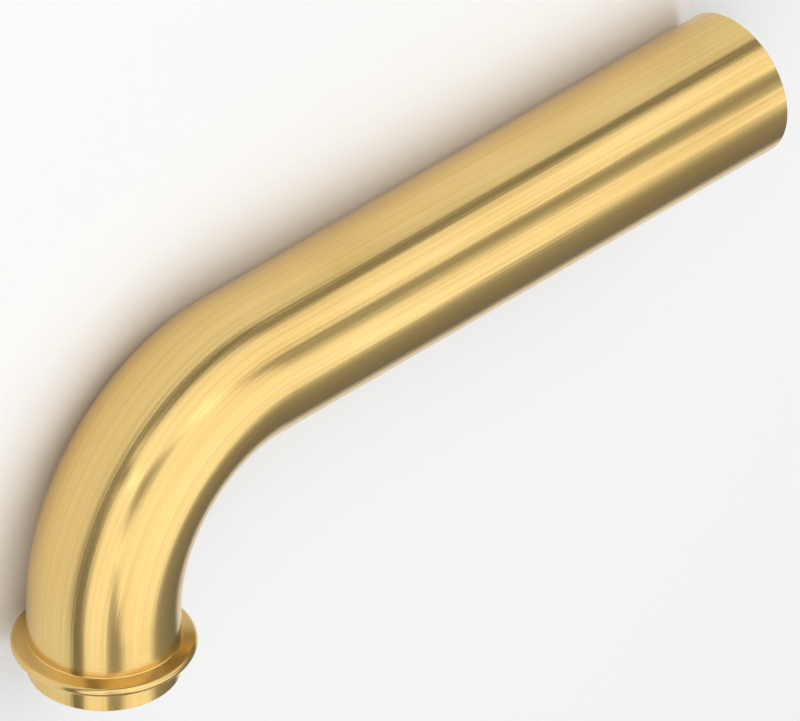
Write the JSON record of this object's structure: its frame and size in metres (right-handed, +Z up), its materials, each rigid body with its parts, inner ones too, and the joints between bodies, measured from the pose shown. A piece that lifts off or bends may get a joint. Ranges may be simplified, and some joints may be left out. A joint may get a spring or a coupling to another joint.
{
  "type": "bent waste pipe",
  "caption": "Bent brass waste tube with a rolled collar: its short spigot seats in a trap under a union nut, and its long leg runs into the wall.",
  "frame": {"origin": "on the surface that the pipe lies on, below the middle of its bounding box", "axes": "+X along the long leg towards its wall end, +Z up; the short leg points to -Y, and rises slightly because its collar is wider than the tube"},
  "size_m": [0.2032, 0.0726, 0.0385],
  "materials": {
    "brass": "drawn tube, polished and clean"
  },
  "bodies": {
    "root": {"waste_pipe": "brass"}
  },
  "joints": []
}
